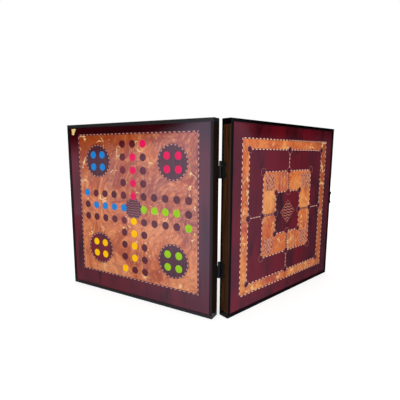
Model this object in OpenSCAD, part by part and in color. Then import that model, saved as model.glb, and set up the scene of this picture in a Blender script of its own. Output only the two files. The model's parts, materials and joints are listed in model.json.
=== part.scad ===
// Folding wooden games case, standing open like a book on its bottom rails.
// Two square trays are joined by two small butterfly hinges. The outer faces carry a ludo board and
// a nine men's morris board, the tray floors a backgammon board and a chess board, all as flush inlays.
// Origin: on the floor, midway across the width and the depth. X is the width, Z is up, and the
// hinged edges point to -Y.

/* [Case] */
// Side of each square half
side = 400; // [340:10:460]
// Depth of each tray, from its rim to its outer face
depth = 25; // [22:1:36]
// Angle between the two halves as they stand
open_angle = 110; // [60:5:160]
// Set-back of each rim from the plane in which the closed halves meet
rim_gap = 0.2; // [0.1:0.05:0.4]

/* [Rails] */
// Thickness of the rails round each tray
rail_t = 8; // [7.5:0.5:12]
// Rounding along the outer edges of the rails
edge_r = 2; // [1:0.5:3]
// Radius of the brads that pin the corners
brad_r = 0.7; // [0.5:0.1:1]
// Length of the brads
brad_l = 20; // [15:1:26]
// First brad of each corner, measured from the rim
brad_inset = 4; // [3:0.5:5]
// Distance between the two brads of a corner
brad_pitch = 7; // [5:0.5:8]

/* [Panels] */
// Thickness of the plywood panel in each tray
panel_t = 4; // [3:0.5:5]
// How far the face of the board lies below the outer edge of the rails
panel_recess = 1.2; // [0.6:0.2:2]
// Depth of the groove that holds the panel
groove_d = 3; // [2:0.5:4]
// Play of the panel in its groove
groove_gap = 0.1; // [0.05:0.05:0.3]

/* [Inlays] */
// Thickness of the inlaid sheets
inlay_t = 0.6; // [0.4:0.1:1]
// Glue gap between neighbouring inlays
inlay_gap = 0.1; // [0.05:0.05:0.2]
// Diameter of the spots on the ludo board
spot_d = 17; // [12:1:18]

/* [Ludo board] */
// Plain margin beside the ludo board
ludo_margin = 33; // [28:1:40]
// Shift of the ludo board towards the hinged edge
ludo_shift = 3; // [0:0.5:6]
// Height of the ludo board's centre above the panel's centre
ludo_rise = 10.5; // [0:0.5:14]
// Width of the dashed stringing round the ludo board
ludo_string = 4; // [2:0.5:5]
// Spare ground between the last spots and the stringing
ludo_edge = 12; // [9:0.5:14]
// Radius of the round home fields
home_r = 38; // [34:1:39]
// Width of the dashed stringing round each home field
home_string = 4; // [2:0.5:5]
// Width of the dashed stringing round the centre rosette
rosette_string = 2.5; // [1.5:0.5:4]
// Distance of a home spot from the middle lines of its home field
home_spot = 14; // [12:0.5:15]
// How far the four spots beside the centre rosette cut into it
rosette_lap = 4.5; // [2:0.5:6]

/* [Morris board] */
// Plain margin beside the morris board
morris_margin = 34.5; // [28:0.5:42]
// Shift of the morris board towards the hinged edge
morris_shift = 2; // [0:0.5:6]
// Width of the burl band outside the outer square
morris_band = 23; // [18:1:28]
// Width of the dashed stringing on the morris board
morris_string = 3; // [2:0.5:4]
// Width of the dashed lines that join the squares
line_w = 4.5; // [2:0.5:6]
// Diameter of the spots on the morris board
morris_spot_d = 12; // [10:1:16]
// Half the diagonal of the diamond in the middle
diamond_r = 28; // [20:1:32]
// Side of the chequered corner patches
chequer_w = 35.5; // [20:0.5:38]
// Width of the striped patches
stripe_w = 36; // [24:1:40]
// Distance from the middle line to the striped patches
stripe_gap = 6; // [4:1:8]

/* [Tray floors] */
// Plain border round the chess board
chess_border = 16; // [8:1:30]
// Width of the bar between the two tables of the backgammon board
bar_w = 24; // [16:1:36]
// Plain border round the backgammon board
table_border = 6; // [4:1:12]
// Length of the backgammon points
point_l = 160; // [120:5:165]

/* [Hinges] */
// Distance of each hinge's centre from the end of its rail
hinge_inset = 98; // [60:1:120]
// Distance of the hinge axis from the hinged walls
hinge_off = 3.2; // [3:0.1:4.5]
// Height of the hinges
hinge_h = 34; // [30:1:44]
// Width of a hinge leaf, measured from the rim
leaf_w = 13.5; // [12.5:0.5:16]
// Thickness of the leaves
leaf_t = 1; // [0.8:0.1:1.2]
// Radius of the round lobes of a leaf
lobe_r = 7; // [5.5:0.5:7]
// Outer radius of the knuckles
knuckle_r = 2.5; // [2.2:0.1:2.8]
// Height of a hinge's upper knuckle, which the morris half holds
knuckle_h = 9; // [6:0.5:14]
// Gap between the upper and the lower knuckle
knuckle_gap = 0.2; // [0.1:0.1:0.5]
// Gap between a knuckle and the notched leaf beside it
notch_gap = 0.5; // [0.3:0.1:1]
// Radius of the hinge pins
pin_r = 1; // [0.8:0.1:1.2]
// Radial play of a pin, a rivet or a stud in its bore
pin_play = 0.05; // [0.02:0.01:0.08]
// Height of the rounded head on each end of a pin
pin_head_h = 0.8; // [0.5:0.1:1.5]

/* [Screws] */
// Radius of the screw heads
screw_head_r = 2.1; // [1.8:0.1:2.4]
// Radius of the screw shanks
screw_r = 0.8; // [0.6:0.1:1]
// Wood left between the tips of the screws and the groove
screw_tip = 0.6; // [0.4:0.1:1.5]
// Play of a screw or a brad in its hole
screw_play = 0.05; // [0.02:0.01:0.1]

/* [Latch] */
// Height of the latch pivot above the floor
latch_z = 227; // [120:1:250]
// Distance of the pivot from the outer face of its half
pivot_inset = 5.2; // [5.2:0.2:7]
// Distance of the catch stud from the rim of its half
catch_inset = 4.8; // [4.6:0.2:6]
// Width of the pivot plate and of the catch plate
plate_w = 6.4; // [6:0.2:7]
// Thickness of both plates
plate_t = 0.8; // [0.6:0.1:1.2]
// Height of the shoulders that hold the hook off its plates
shoulder_h = 3; // [1.6:0.2:3.4]
// Thickness of the hook
hook_t = 1.4; // [0.8:0.1:2]
// Radius of the hook's eye
eye_r = 4.3; // [3.5:0.1:5]
// Radius of the hook's head
hook_r = 4.5; // [4:0.1:5]
// Width of the hook's arm
arm_w = 6; // [4:0.2:7]
// Free play of the hook between the shoulders and the heads
hook_play = 0.2; // [0.1:0.05:0.3]
// Play of the hook round the catch stud
catch_play = 0.3; // [0.2:0.05:0.5]
// Radius of the pivot rivet and of the catch stud
stud_r = 1.5; // [1.2:0.1:1.8]
// Radius of the shoulders and of the head of the catch stud
stud_head_r = 2.8; // [2.4:0.1:3.2]
// Height of the head of the catch stud
stud_head_h = 1.2; // [0.6:0.1:1.5]
// Radius of the finger knob over the pivot
knob_r = 3.4; // [2.8:0.1:3.8]
// Height of the finger knob
knob_h = 5.6; // [3:0.2:6]

/* [Hidden] */
$fn = 48;

walnut = "#46301f";
black_lacquer = "#1c1a19";
maroon = "#5f2432";
burl = "#d9793f";
dark_spot = "#4a3038";
cream = "#e8c9a0";
black_metal = "#242321";

// Half the glue gap, by which each inlay is cut short
g = inlay_gap / 2;
// Levels across a tray, from its outer face at -depth to its rim near 0
face_y = -depth + panel_recess;
panel_y = face_y + inlay_t;
floor_y = panel_y + panel_t;
tray_floor_y = floor_y + inlay_t;
inner = side - 2 * rail_t;
// Middle of the two outer boards, in the tray's own frame
ludo_x = side / 2 - ludo_shift;
ludo_z = side / 2 + ludo_rise;
morris_x = side / 2 - morris_shift;
morris_z = side / 2;
// Angle of each half from the X axis, and the hinge axis that centres the case in depth
spread = (180 - open_angle) / 2;
back_y = (hinge_off + side) * sin(spread) - rim_gap * cos(spread);
front_y = (hinge_off + edge_r) * sin(spread) - (depth - edge_r) * cos(spread) - edge_r;
hinge_y = -(back_y + front_y) / 2;

spot_r = spot_d / 2;
// Ludo: eleven fields each way, spot to spot, and round home fields in the corners
ludo_half = side / 2 - ludo_margin;
ludo_ground_half = ludo_half - ludo_string;
pitch = (ludo_ground_half - ludo_edge - spot_r) / 5;
home_at = 3.66 * pitch;
rosette_r = pitch - spot_r + rosette_lap;
// Morris: three squares, one third apart, with patches between the two inner ones
mill_r = morris_spot_d / 2;
morris_half = side / 2 - morris_margin;
square_r = [for (k = [3, 2, 1]) (morris_half - morris_band) * k / 3];
string_half = morris_string / 2;
patch_at = (square_r[1] + square_r[2]) / 2;
stripe_h = square_r[1] - square_r[2] - morris_string - 2;
// Backgammon and chess
table_w = (inner - 2 * table_border - bar_w) / 2;
point_w = table_w / 6;
point_z = rail_t + table_border;
function point_x(table, k) = rail_t + table_border + table * (table_w + bar_w) + (k + 0.5) * point_w;
chess_square = (inner - 2 * chess_border) / 8;

// Hinges: heights of both, centre of a leaf's lobes, and the knuckles' spans about the hinge's centre
hinge_z = [side - hinge_inset, hinge_inset];
lobe_y = leaf_w - lobe_r;
lobe_z = hinge_h / 2 - lobe_r;
upper_span = [hinge_h / 2 - knuckle_h, hinge_h / 2];
lower_span = [-hinge_h / 2, upper_span[0] - knuckle_gap];
slot_w = screw_head_r / 4;
screw_in = rail_t - groove_d - screw_tip;

// Latch: the pivot near the outer face, the stud near the rim, and the hook's slot for the stud
pivot_y = pivot_inset - depth;
catch_y = -catch_inset;
reach = depth - pivot_inset + catch_inset;
plate_pitch = stud_head_r + screw_head_r + 0.5;
hook_x = plate_t + shoulder_h + hook_play;
head_x = hook_x + hook_t + hook_play;
slot_r = stud_r + catch_play;
slot_flare = hook_r * hook_r / (2 * reach) + catch_play;

// Places of the two halves: each is drawn with the hinge axis at X 0, Y 0 and its length along X
module right_half() {
    translate([0, hinge_y, 0]) rotate([0, 0, spread]) children();
}

module left_half() {
    mirror([1, 0, 0]) right_half() children();
}

// The trays themselves start one hinge offset away from the axis
module right_tray() {
    right_half() translate([hinge_off, 0, 0]) children();
}

module left_tray() {
    left_half() translate([hinge_off, 0, 0]) children();
}

// Flat shapes drawn in X and Z become inlays on the board's face or on the tray's floor
module on_face() {
    translate([0, panel_y, 0]) rotate([90, 0, 0]) linear_extrude(inlay_t) children();
}

module on_floor() {
    translate([0, tray_floor_y, 0]) rotate([90, 0, 0]) linear_extrude(inlay_t) children();
}

module on_ludo() {
    left_tray() on_face() translate([ludo_x, ludo_z]) children();
}

module on_morris() {
    right_tray() on_face() translate([morris_x, morris_z]) children();
}

// Flat shapes drawn in Y and Z become plates that stand out along X
module on_wall(x, thickness) {
    translate([x, 0, 0]) rotate([90, 0, 90]) linear_extrude(thickness) children();
}

// Outline of a tray, square at the rim and rounded at the outer face
module tray_outline() {
    translate([0, -depth + edge_r]) square([side, depth - edge_r - rim_gap]);
    translate([edge_r, -depth]) square([side - 2 * edge_r, 2 * edge_r]);
    for (x = [edge_r, side - edge_r]) translate([x, -depth + edge_r]) circle(edge_r);
}

module tray_block() {
    intersection() {
        linear_extrude(side) tray_outline();
        translate([0, 0, side]) rotate([0, 90, 0]) linear_extrude(side) tray_outline();
    }
}

module panel_space(gap, front, back) {
    inset = rail_t - groove_d + gap;
    translate([inset, front, inset]) cube([side - 2 * inset, back - front, side - 2 * inset]);
}

// Screw with its head's face at X 0 and its point towards +X; as a hole it reaches out past the head
module screw(head_h, play, out) {
    rotate([0, 90, 0]) {
        translate([0, 0, -out]) cylinder(h = out, r = screw_head_r + play);
        cylinder(h = head_h, r1 = screw_head_r + play, r2 = screw_r + play);
        cylinder(h = head_h + screw_in + play, r = screw_r + play);
    }
}

module slotted_screw(head_h) {
    difference() {
        screw(head_h, 0, 0);
        translate([-head_h, -2 * screw_head_r, -slot_w / 2]) cube([1.4 * head_h, 4 * screw_head_r, slot_w]);
    }
}

// Both screws of each hinge leaf, in a half's frame
module at_hinge_screws() {
    for (z = hinge_z)
        for (s = [-1, 1]) translate([hinge_off - leaf_t, -lobe_y, z + s * lobe_z]) children();
}

// Places of the pivot and of the catch stud on the free wall, in a tray's frame. From there X points
// out of the wall, and Y runs along the plate.
module at_pivot() {
    translate([side, pivot_y, latch_z]) children();
}

module at_catch() {
    translate([side, catch_y, latch_z]) mirror([0, 1, 0]) children();
}

module at_plate_screws() {
    for (k = [1, 2]) translate([plate_t, k * plate_pitch, 0]) rotate([0, 0, 180]) children();
}

// Rivet or stud through a plate into the free rail; as a hole it has no shoulder
module stud(play) {
    rotate([0, 90, 0]) translate([0, 0, -screw_in - play])
        cylinder(h = screw_in + play + head_x, r = stud_r + play);
}

module shouldered_stud() {
    stud(0);
    rotate([0, 90, 0]) {
        translate([0, 0, plate_t]) cylinder(h = shoulder_h, r = stud_head_r);
        translate([0, 0, head_x]) children();
    }
}

module plate_holes() {
    stud(pin_play);
    at_plate_screws() screw(plate_t, screw_play, 1);
}

// Brads through the end rails into the side rails, in a tray's frame; as holes they run out of the rail
module brads(play, out) {
    for (x = [rail_t / 2, side - rail_t / 2])
        for (y = [-brad_inset, -brad_inset - brad_pitch]) {
            translate([x, y, -out]) cylinder(h = brad_l + play + out, r = brad_r + play);
            translate([x, y, side - brad_l - play]) cylinder(h = brad_l + play + out, r = brad_r + play);
        }
}

// A rail is the part of the tray block inside its own box, less the groove and its holes
module rail(corner, size) {
    difference() {
        intersection() {
            tray_block();
            translate(corner) cube(size);
        }
        panel_space(0, panel_y, floor_y + groove_gap);
        brads(screw_play, 1);
        children();
    }
}

module end_rail(z) {
    color(black_lacquer) rail([0, -depth, z], [side, depth, rail_t]);
}

module hinge_rail() {
    color(walnut) rail([0, -depth, rail_t], [rail_t, depth, inner])
        translate([-hinge_off, 0, 0]) at_hinge_screws() screw(leaf_t, screw_play, 1);
}

module free_rail() {
    color(walnut) rail([side - rail_t, -depth, rail_t], [rail_t, depth, inner]) children();
}

module panel() {
    color(walnut) panel_space(groove_gap, panel_y, floor_y);
}

module corner_brads() {
    color(black_metal) brads(0, 0);
}

// Square ring with the half sizes a outside and b inside, cut short by half the glue gap
module ring(a, b) {
    difference() {
        square(2 * (a - g), center = true);
        square(2 * (b + g), center = true);
    }
}

module circle_ring(a, b) {
    difference() {
        circle(a - g);
        circle(b + g);
    }
}

// Margin between the rails and a board of half size a, whose middle lies at [x, z] in the tray
module surround(a, x, z) {
    difference() {
        translate([rail_t + g - x, rail_t + g - z]) square(inner - 2 * g);
        square(2 * (a + g), center = true);
    }
}

// Ludo board: colour of the field in column c from the left and row r from the top
function spot_colour(c, r) =
    (c == 5 && r >= 1 && r <= 4) || (c == 6 && r == 0) ? "red" :
    (c == 5 && r >= 6 && r <= 9) || (c == 4 && r == 10) ? "yellow" :
    (r == 5 && c >= 1 && c <= 4) || (c == 0 && r == 4) ? "blue" :
    (r == 5 && c >= 6 && c <= 9) || (c == 10 && r == 6) ? "green" : "dark";

// Columns run from the free edge to the hinged edge
module at_fields(colour) {
    for (c = [0:10])
        for (r = [0:10])
            if ((abs(c - 5) <= 1 || abs(r - 5) <= 1) && !(c == 5 && r == 5))
                if (colour == "any" || spot_colour(c, r) == colour)
                    translate([(5 - c) * pitch, (5 - r) * pitch]) children();
}

module at_homes() {
    for (sx = [-1, 1])
        for (sz = [-1, 1]) translate([sx * home_at, sz * home_at]) children();
}

module at_home_spots() {
    for (sx = [-1, 1])
        for (sz = [-1, 1]) translate([sx * home_spot, sz * home_spot]) children();
}

// Each home field has the colour of its four spots; sx and sz choose its corner
module coloured_spots(colour, sx, sz) {
    at_fields(colour) circle(spot_r - g);
    translate([sx * home_at, sz * home_at]) at_home_spots() circle(spot_r - g);
}

module ludo_top_rail() { left_tray() end_rail(side - rail_t); }
module ludo_bottom_rail() { left_tray() end_rail(0); }
module ludo_hinge_rail() { left_tray() hinge_rail(); }
module ludo_free_rail() { left_tray() free_rail() at_catch() plate_holes(); }
module ludo_panel() { left_tray() panel(); }
module ludo_corner_brads() { left_tray() corner_brads(); }

module ludo_surround() {
    color(maroon) on_ludo() surround(ludo_half, ludo_x, ludo_z);
}

module ludo_ground() {
    color(burl) on_ludo() difference() {
        square(2 * (ludo_ground_half - g), center = true);
        at_fields("any") circle(spot_r + g);
        at_homes() circle(home_r + g);
        circle(rosette_r + g);
    }
}

module ludo_stringing() {
    color(cream) on_ludo() {
        ring(ludo_half, ludo_ground_half);
        at_homes() circle_ring(home_r, home_r - home_string);
        difference() {
            circle_ring(rosette_r, rosette_r - rosette_string);
            at_fields("any") circle(spot_r + g);
        }
    }
}

module ludo_home_discs() {
    color(dark_spot) on_ludo() at_homes() difference() {
        circle(home_r - home_string - g);
        at_home_spots() circle(spot_r + g);
    }
}

module ludo_rosette() {
    color(maroon) on_ludo() difference() {
        circle(rosette_r - rosette_string - g);
        at_fields("any") circle(spot_r + g);
    }
}

module ludo_path_spots() { color(dark_spot) on_ludo() at_fields("dark") circle(spot_r - g); }
module ludo_red_spots() { color("#f0286a") on_ludo() coloured_spots("red", -1, 1); }
module ludo_blue_spots() { color("#2a8fe6") on_ludo() coloured_spots("blue", 1, 1); }
module ludo_yellow_spots() { color("#f9c80a") on_ludo() coloured_spots("yellow", 1, -1); }
module ludo_green_spots() { color("#97d62a") on_ludo() coloured_spots("green", -1, -1); }

// Backgammon board on the floor of the ludo tray: one point with its base on the X axis
module point(grow) {
    half = point_w / 2;
    polygon([[-half - grow, -grow], [half + grow, -grow], [0, point_l * (1 + grow / half)]]);
}

// Light and dark points alternate along both ends; parity picks one of the two sorts
module at_points(parity) {
    for (table = [0, 1])
        for (k = [0:5])
            for (end = [0, 1])
                if (parity == 2 || (k + end + table) % 2 == parity)
                    translate([point_x(table, k), end == 0 ? point_z : side - point_z])
                        mirror([0, end]) children();
}

module backgammon_ground() {
    color(burl) left_tray() on_floor() difference() {
        translate([rail_t + g, rail_t + g]) square(inner - 2 * g);
        translate([side / 2 - bar_w / 2 - g, 0]) square([bar_w + 2 * g, side]);
        at_points(2) point(g);
    }
}

module backgammon_bar() {
    color(walnut) left_tray() on_floor()
        translate([side / 2 - bar_w / 2 + g, rail_t + g]) square([bar_w - 2 * g, inner - 2 * g]);
}

module backgammon_light_points() { color(cream) left_tray() on_floor() at_points(0) point(-g); }
module backgammon_dark_points() { color(maroon) left_tray() on_floor() at_points(1) point(-g); }

// Hinges: both leaves have round lobes cut off at the rim, and the morris half holds the upper knuckle
module leaf_outline() {
    translate([-lobe_y, -hinge_h / 2]) square([lobe_y - rim_gap, hinge_h]);
    translate([-lobe_y - lobe_r / 2, -lobe_z]) square([lobe_r, 2 * lobe_z]);
    intersection() {
        for (s = [-1, 1]) translate([-lobe_y, s * lobe_z]) circle(lobe_r);
        translate([-leaf_w, -hinge_h / 2]) square([leaf_w - rim_gap, hinge_h]);
    }
}

// A knuckle fills the heights in span, and the notch takes the other half's knuckle
module leaf(span, notch) {
    knuckle = span[1] - span[0];
    difference() {
        union() {
            on_wall(hinge_off - leaf_t, leaf_t) leaf_outline();
            translate([0, 0, span[0]]) cylinder(h = knuckle, r = knuckle_r);
            translate([0, -knuckle_r, span[0]]) cube([hinge_off, knuckle_r - rim_gap, knuckle]);
        }
        translate([-hinge_off, -knuckle_r - notch_gap, notch[0] - knuckle_gap])
            cube([3 * hinge_off, 2 * knuckle_r + 2 * notch_gap, notch[1] - notch[0] + 2 * knuckle_gap]);
        translate([0, 0, -hinge_h]) cylinder(h = 2 * hinge_h, r = pin_r + pin_play);
        for (s = [-1, 1])
            translate([hinge_off - leaf_t, -lobe_y, s * lobe_z]) screw(leaf_t, screw_play, 1);
    }
}

module ludo_leaf(z) {
    color(black_metal) left_half() translate([0, 0, z]) leaf(lower_span, upper_span);
}

module morris_leaf(z) {
    color(black_metal) right_half() translate([0, 0, z]) leaf(upper_span, lower_span);
}

module hinge_pin(z) {
    color(black_metal) translate([0, hinge_y, z]) {
        translate([0, 0, -hinge_h / 2]) cylinder(h = hinge_h, r = pin_r);
        for (s = [0, 1])
            mirror([0, 0, s]) translate([0, 0, hinge_h / 2])
                cylinder(h = pin_head_h, r1 = (pin_r + knuckle_r) / 2, r2 = pin_r / 2);
    }
}

module ludo_upper_leaf() { ludo_leaf(hinge_z[0]); }
module ludo_lower_leaf() { ludo_leaf(hinge_z[1]); }
module ludo_hinge_screws() { color(black_metal) left_half() at_hinge_screws() slotted_screw(leaf_t); }
module morris_upper_leaf() { morris_leaf(hinge_z[0]); }
module morris_lower_leaf() { morris_leaf(hinge_z[1]); }
module morris_hinge_screws() { color(black_metal) right_half() at_hinge_screws() slotted_screw(leaf_t); }
module upper_hinge_pin() { hinge_pin(hinge_z[0]); }
module lower_hinge_pin() { hinge_pin(hinge_z[1]); }

// Latch: a plate with a riveted hook on the morris half, a plate with a stud on the ludo half
module wall_plate() {
    difference() {
        on_wall(0, plate_t) {
            translate([0, -plate_w / 2]) square([2 * plate_pitch, plate_w]);
            for (k = [0, 2]) translate([k * plate_pitch, 0]) circle(plate_w / 2);
        }
        plate_holes();
    }
}

module knob() {
    cylinder(h = 0.7 * knob_h, r = knob_r);
    translate([0, 0, 0.7 * knob_h]) cylinder(h = 0.3 * knob_h, r1 = knob_r, r2 = 0.6 * knob_r);
}

// The hook hangs from its pivot at [0, 0], and its slot opens to the side on which it swings up
module hook_outline() {
    difference() {
        union() {
            circle(eye_r);
            translate([-arm_w / 2, -reach]) square([arm_w, reach]);
            translate([0, -reach]) circle(hook_r);
        }
        circle(stud_r + pin_play);
        translate([0, -reach]) {
            circle(slot_r);
            polygon([[0, -slot_r], [2 * hook_r, -slot_r], [2 * hook_r, slot_r + slot_flare], [0, slot_r]]);
        }
    }
}

module catch_plate() { color(black_metal) left_tray() at_catch() wall_plate(); }
module catch_screws() { color(black_metal) left_tray() at_catch() at_plate_screws() slotted_screw(plate_t); }
module latch_plate() { color(black_metal) right_tray() at_pivot() wall_plate(); }
module latch_screws() { color(black_metal) right_tray() at_pivot() at_plate_screws() slotted_screw(plate_t); }
module latch_rivet() { color(black_metal) right_tray() at_pivot() shouldered_stud() knob(); }

module catch_stud() {
    color(black_metal) left_tray() at_catch() shouldered_stud()
        cylinder(h = stud_head_h, r1 = stud_head_r, r2 = stud_head_r / 2);
}

module latch_hook() {
    color(black_metal) right_tray() at_pivot() on_wall(hook_x, hook_t) hook_outline();
}

module morris_top_rail() { right_tray() end_rail(side - rail_t); }
module morris_bottom_rail() { right_tray() end_rail(0); }
module morris_hinge_rail() { right_tray() hinge_rail(); }
module morris_free_rail() { right_tray() free_rail() at_pivot() plate_holes(); }
module morris_panel() { right_tray() panel(); }
module morris_corner_brads() { right_tray() corner_brads(); }

// Morris board: the eight spots of each of the three squares
module at_spots() {
    for (r = square_r)
        for (i = [-1, 0, 1])
            for (j = [-1, 0, 1])
                if (i != 0 || j != 0) translate([i * r, j * r]) children();
}

// Lines from the middle of each side, from the outer square to the inner one
module middle_lines(width) {
    for (a = [0:90:270])
        rotate(a) translate([square_r[2], -width / 2]) square([square_r[0] - square_r[2], width]);
}

// Fields between two squares, cut where the middle lines and the spots lie
module morris_field_shape() {
    difference() {
        children();
        middle_lines(line_w + 2 * g);
        at_spots() circle(mill_r + g);
    }
}

module chequer_places() {
    for (sx = [-1, 1])
        for (sz = [-1, 1]) translate([sx * patch_at, sz * patch_at]) children();
}

// One striped patch lies above the middle, towards the hinge, and one below it, towards the free edge
module stripe_places() {
    for (s = [-1, 1]) translate([s * (stripe_gap + stripe_w / 2), -s * patch_at]) children();
}

module morris_surround() {
    color(maroon) on_morris() surround(morris_half, morris_x, morris_z);
}

module morris_outer_band() {
    color(burl) on_morris() difference() {
        ring(morris_half - morris_string, square_r[0] + string_half);
        at_spots() circle(mill_r + g);
    }
}

module morris_field() {
    color(maroon) on_morris() morris_field_shape() ring(square_r[0] - string_half, square_r[1] + string_half);
}

module morris_inner_band() {
    color(burl) on_morris() morris_field_shape() difference() {
        ring(square_r[1] - string_half, square_r[2] + string_half);
        chequer_places() square(chequer_w + 2 * g, center = true);
        stripe_places() square([stripe_w + 2 * g, stripe_h + 2 * g], center = true);
    }
}

module morris_chequers() {
    color(cream) on_morris() morris_field_shape() chequer_places() square(chequer_w - 2 * g, center = true);
}

module morris_stripes() {
    color(dark_spot) on_morris() morris_field_shape()
        stripe_places() square([stripe_w - 2 * g, stripe_h - 2 * g], center = true);
}

module morris_centre() {
    color(maroon) on_morris() difference() {
        square(2 * (square_r[2] - string_half - g), center = true);
        at_spots() circle(mill_r + g);
        rotate(45) square((diamond_r + 2 * g) * sqrt(2), center = true);
    }
}

module morris_diamond() {
    color(cream) on_morris() rotate(45) square((diamond_r - 2 * g) * sqrt(2), center = true);
}

module morris_stringing() {
    color(cream) on_morris() difference() {
        union() {
            ring(morris_half, morris_half - morris_string);
            for (r = square_r) ring(r + string_half, r - string_half);
            difference() {
                middle_lines(line_w - 2 * g);
                for (r = square_r) ring(r + string_half + 2 * g, r - string_half - 2 * g);
            }
        }
        at_spots() circle(mill_r + g);
    }
}

module morris_spots() { color(dark_spot) on_morris() at_spots() circle(mill_r - g); }

// Chess board on the floor of the morris tray
module chess_squares(parity) {
    for (i = [0:7])
        for (j = [0:7])
            if ((i + j) % 2 == parity)
                translate([side / 2 + (i - 3.5) * chess_square, side / 2 + (j - 3.5) * chess_square])
                    square(chess_square - 2 * g, center = true);
}

module chess_border_sheet() {
    color(maroon) right_tray() on_floor() translate([side / 2, side / 2]) ring(inner / 2, 4 * chess_square);
}

module chess_light_squares() { color(burl) right_tray() on_floor() chess_squares(1); }
module chess_dark_squares() { color(dark_spot) right_tray() on_floor() chess_squares(0); }

ludo_top_rail();
ludo_bottom_rail();
ludo_hinge_rail();
ludo_free_rail();
ludo_panel();
ludo_surround();
ludo_ground();
ludo_stringing();
ludo_home_discs();
ludo_rosette();
ludo_path_spots();
ludo_red_spots();
ludo_blue_spots();
ludo_yellow_spots();
ludo_green_spots();
backgammon_ground();
backgammon_bar();
backgammon_light_points();
backgammon_dark_points();
ludo_corner_brads();
ludo_upper_leaf();
ludo_lower_leaf();
ludo_hinge_screws();
catch_plate();
catch_stud();
catch_screws();
upper_hinge_pin();
lower_hinge_pin();
morris_top_rail();
morris_bottom_rail();
morris_hinge_rail();
morris_free_rail();
morris_panel();
morris_surround();
morris_outer_band();
morris_field();
morris_inner_band();
morris_centre();
morris_diamond();
morris_chequers();
morris_stripes();
morris_stringing();
morris_spots();
chess_border_sheet();
chess_light_squares();
chess_dark_squares();
morris_corner_brads();
morris_upper_leaf();
morris_lower_leaf();
morris_hinge_screws();
latch_plate();
latch_rivet();
latch_screws();
latch_hook();
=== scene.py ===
import json
import math

import bmesh
import bpy
from mathutils import Matrix, Vector


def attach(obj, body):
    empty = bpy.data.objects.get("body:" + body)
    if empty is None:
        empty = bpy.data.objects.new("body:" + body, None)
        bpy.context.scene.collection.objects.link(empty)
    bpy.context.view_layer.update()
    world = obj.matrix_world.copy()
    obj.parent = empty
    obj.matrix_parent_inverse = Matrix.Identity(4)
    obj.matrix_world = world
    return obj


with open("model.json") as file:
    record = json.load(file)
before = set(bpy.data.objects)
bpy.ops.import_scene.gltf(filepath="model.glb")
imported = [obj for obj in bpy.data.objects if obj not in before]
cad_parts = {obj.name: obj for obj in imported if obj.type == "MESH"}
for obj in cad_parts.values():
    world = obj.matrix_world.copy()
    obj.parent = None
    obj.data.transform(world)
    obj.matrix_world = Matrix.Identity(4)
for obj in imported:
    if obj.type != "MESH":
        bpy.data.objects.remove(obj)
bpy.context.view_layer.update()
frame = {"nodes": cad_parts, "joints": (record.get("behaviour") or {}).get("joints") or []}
nodes = frame["nodes"]
joints = {joint["name"]: joint for joint in frame["joints"]}
print("frame loaded:", len(nodes), "nodes")

# Both halves are the same shape, mirrored. Each is drawn in millimetres in a frame of its own:
# X away from the hinge axis, Y from the outer face (-25) to the rim (0), Z up.
perMetre = 1000
hingePoint = Vector(joints["fold"]["pos_m"])
hookAxis = joints["hook_swing"]["axis"]
halfTurn = math.atan2(hookAxis[1], hookAxis[0])

# Mirror factor, and the centre (X, Z) of the pattern on each face of the case
boards = {
    "ludo": {"mirror": -1, "centre": (200.2, 210.5)},
    "morris": {"mirror": 1, "centre": (201.2, 200)},
    "backgammon": {"mirror": -1, "centre": (203.2, 200)},
    "chess": {"mirror": 1, "centre": (203.2, 200)},
    "ludoTray": {"mirror": -1, "centre": (0, 0), "face": "ludo"},
    "morrisTray": {"mirror": 1, "centre": (0, 0), "face": "morris"},
}


# sRGB hex to the linear values that the sockets take
def linearColour(text):
    parts = [int(text[i : i + 2], 16) / 255 for i in (1, 3, 5)]
    return (*[p / 12.92 if p <= 0.04045 else ((p + 0.055) / 1.055) ** 2.4 for p in parts], 1)


# Inputs are numbers, sockets, sRGB texts, or nodes, of which the first output is taken
def addNode(tree, kind, inputs=(), **settings):
    made = tree.nodes.new("ShaderNode" + kind)
    for name, value in settings.items():
        setattr(made, name, value)
    for socket, value in inputs.items() if isinstance(inputs, dict) else enumerate(inputs):
        if isinstance(value, bpy.types.Node):
            value = value.outputs[0]
        if isinstance(value, bpy.types.NodeSocket):
            tree.links.new(value, made.inputs[socket])
        else:
            plain = linearColour(value) if isinstance(value, str) else value
            made.inputs[socket].default_value = plain
    return made


def newMaterial(name):
    material = bpy.data.materials.new(name)
    material.use_nodes = True
    material.node_tree.nodes.clear()
    return material, material.node_tree


# Place on a board in millimetres, with the middle of its pattern at X 0, Z 0
def boardPlace(tree, board):
    x, z = boards[board]["centre"]
    turned = Matrix.Rotation(-halfTurn, 3, "Z") @ hingePoint * perMetre
    return addNode(
        tree,
        "Mapping",
        {
            "Vector": addNode(tree, "TexCoord").outputs["Object"],
            "Location": (-turned.x - x, -turned.y, -z),
            "Rotation": (0, 0, -halfTurn),
            "Scale": (perMetre * boards[board]["mirror"], perMetre, perMetre),
        },
    )


# Cloudy figure of wood or stain. In the dictionaries a figure is its size in millimetres, how far
# it is drawn out along X, Y and Z, its detail, its distortion and, where that is fixed, its seed.
# Levels are the values of a figure between which something shows, and its share at both of them.
def woodFigure(tree, place, size, stretch, detail, distortion, seed=0):
    scale = [1 / (size * factor) for factor in stretch]
    drawn = addNode(tree, "Mapping", {"Vector": place, "Location": (seed,) * 3, "Scale": scale})
    inputs = {"Vector": drawn, "Scale": 1, "Detail": detail, "Distortion": distortion}
    return addNode(tree, "TexNoise", inputs)


# 1 on the filled share of each period along a line
def dashes(tree, along, period, filled=0.5):
    turns = addNode(tree, "Math", [along, period], operation="DIVIDE")
    part = addNode(tree, "Math", [turns], operation="FRACT")
    return addNode(tree, "Math", [part, filled], operation="LESS_THAN")


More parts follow.
